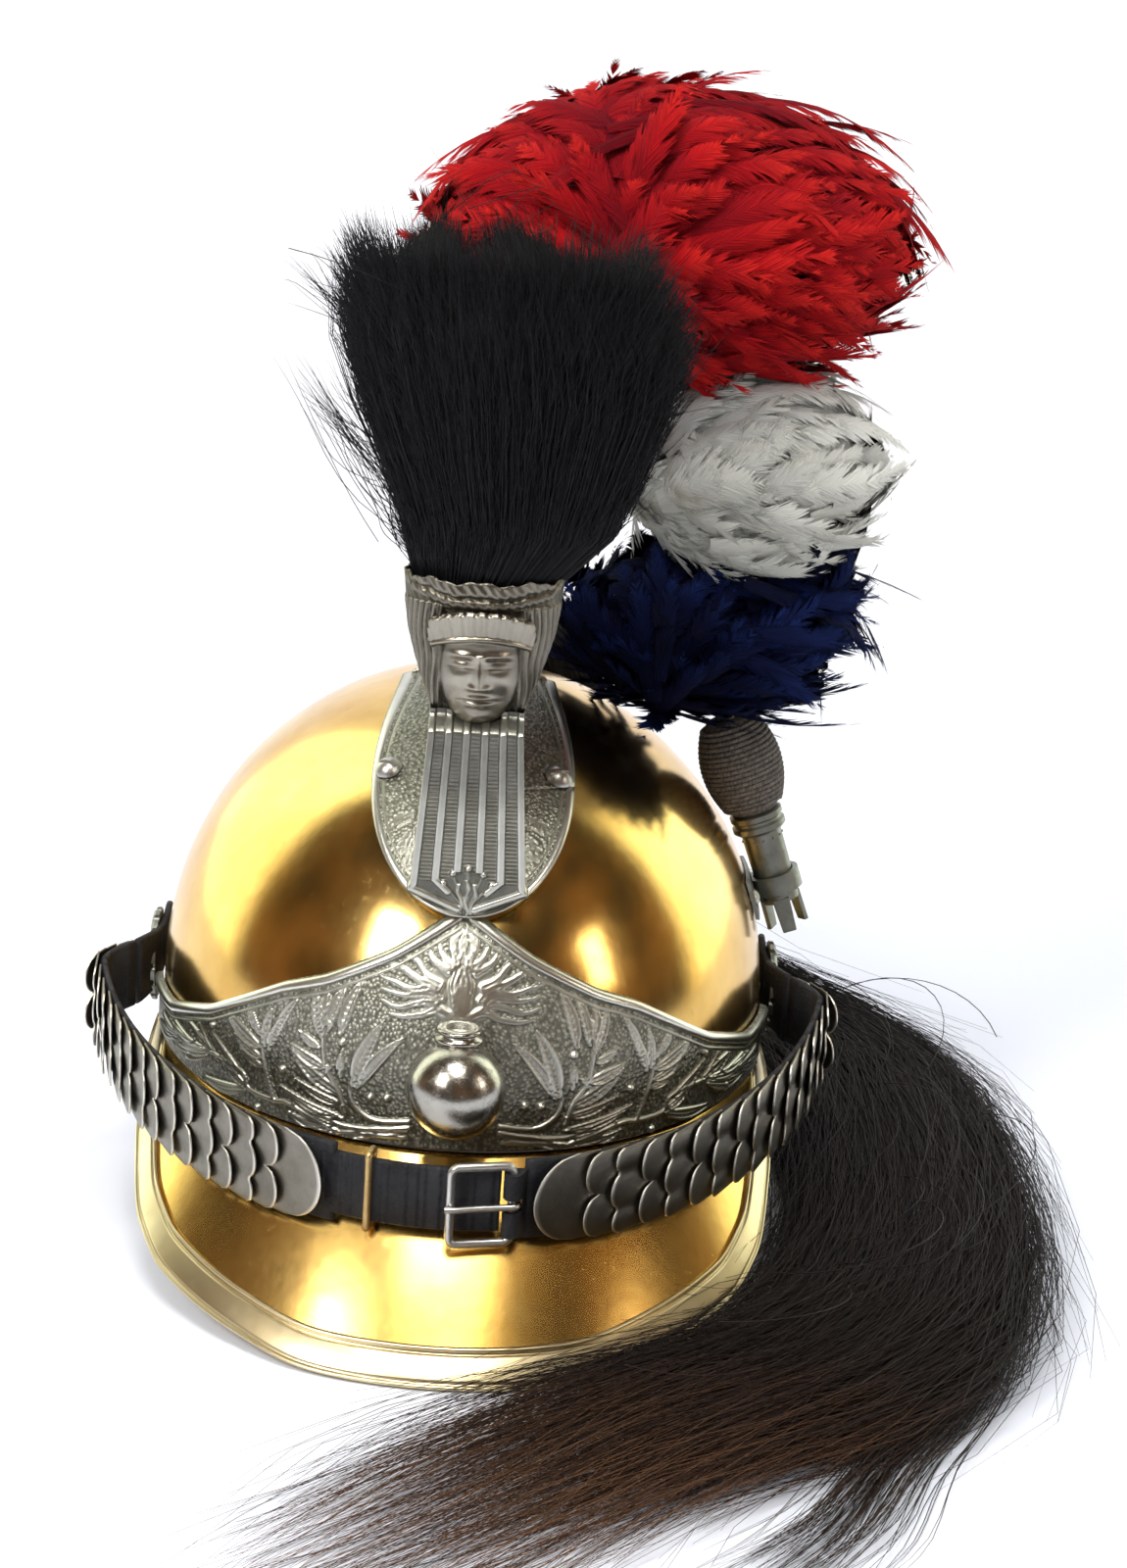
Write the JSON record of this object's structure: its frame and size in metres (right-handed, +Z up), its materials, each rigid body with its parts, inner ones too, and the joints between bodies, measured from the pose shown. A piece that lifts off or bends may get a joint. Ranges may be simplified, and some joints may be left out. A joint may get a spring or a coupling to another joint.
{
  "type": "crested parade helmet",
  "caption": "Brass crested parade helmet: stamped front plate, high crest with mask, mane and brush, side plume, scaled chin strap that opens at a buckle.",
  "frame": {"origin": "middle of the head opening, on the plane that the peak and the neck guard stand on", "axes": "+X to the wearer's left, -Y to the front, +Z up through the crown"},
  "size_m": [0.2957, 0.5006, 0.3629],
  "materials": {
    "brass": "polished",
    "silvered": "stamped white metal",
    "polished": "polished white metal",
    "white_metal": "plain white metal",
    "fixings": "turned",
    "leather_brown": "matt",
    "leather_black": "waxed",
    "horsehair": "glossy hair",
    "grey_steel": "dull grey",
    "steel": "drawn wire",
    "thread": "twisted thread",
    "feather_blue": "feather",
    "feather_white": "feather",
    "feather_red": "feather"
  },
  "bodies": {
    "helmet": {"skull": "brass", "peak": "brass", "peak_border": "brass", "neck_guard": "brass", "neck_guard_border": "brass", "front_plate": "silvered", "grenade_ball": "polished", "crest_base_plate": "silvered", "crest_cheek_left": "white_metal", "crest_cheek_right": "white_metal", "crest_ridge": "white_metal", "crest_panel": "silvered", "crest_screws": "polished", "crest_nuts": "fixings", "mask": "silvered", "brush_cup": "white_metal", "mane_root": "leather_brown", "mane": "horsehair", "rosette_left": "grey_steel", "rosette_right": "grey_steel", "rosette_bolts": "polished", "rosette_nuts": "fixings", "strap_ears": "leather_black", "plume_holder": "grey_steel", "holder_bracket": "grey_steel", "holder_rivets": "polished", "liner_band": "leather_brown", "liner_tongues": "leather_brown"},
    "left_strap": {"left_scales": "grey_steel", "left_lining": "leather_black", "buckle_tab": "leather_black"},
    "right_strap": {"right_scales": "grey_steel", "right_lining": "leather_black", "leather_tongue": "leather_black", "keeper": "leather_black"},
    "buckle_loop": {"buckle_frame": "steel"},
    "prong": {"buckle_prong": "steel"},
    "crest_brush": {"brush": "horsehair", "brush_ferrule": "white_metal"},
    "plume": {"plume_stem": "grey_steel", "olive_core": "thread", "olive_winding": "thread", "plume_blue": "feather_blue", "plume_white": "feather_white", "plume_red": "feather_red"}
  },
  "joints": [
    {"name": "left_strap_swing", "type": "hinge", "parent": "helmet", "child": "left_strap", "pos_m": [0.1005, -0.01284, 0.06357], "axis": [0, -0.1349, 0.9909], "range_deg": [0, 60]},
    {"name": "right_strap_swing", "type": "hinge", "parent": "helmet", "child": "right_strap", "pos_m": [-0.1005, -0.01284, 0.06357], "axis": [0, -0.1349, 0.9909], "range_deg": [-60, 0]},
    {"name": "buckle_loop_swing", "type": "hinge", "parent": "left_strap", "child": "buckle_loop", "pos_m": [0.01731, -0.14069, 0.04617], "axis": [0, -0.1349, 0.9909], "range_deg": [0, 40]},
    {"name": "prong_swing", "type": "hinge", "parent": "buckle_loop", "child": "prong", "pos_m": [0.01731, -0.14069, 0.04617], "axis": [0, -0.1349, 0.9909], "range_deg": [0, 70]},
    {"name": "brush_lift", "type": "slide", "parent": "helmet", "child": "crest_brush", "axis": [0, 0, 1], "range_m": [0, 0.05]},
    {"name": "plume_lift", "type": "slide", "parent": "helmet", "child": "plume", "axis": [-0.342, 0, 0.9397], "range_m": [0, 0.075]}
  ],
  "couplings": [
    {"joint": "right_strap_swing", "follows": "left_strap_swing", "ratio": -1}
  ]
}
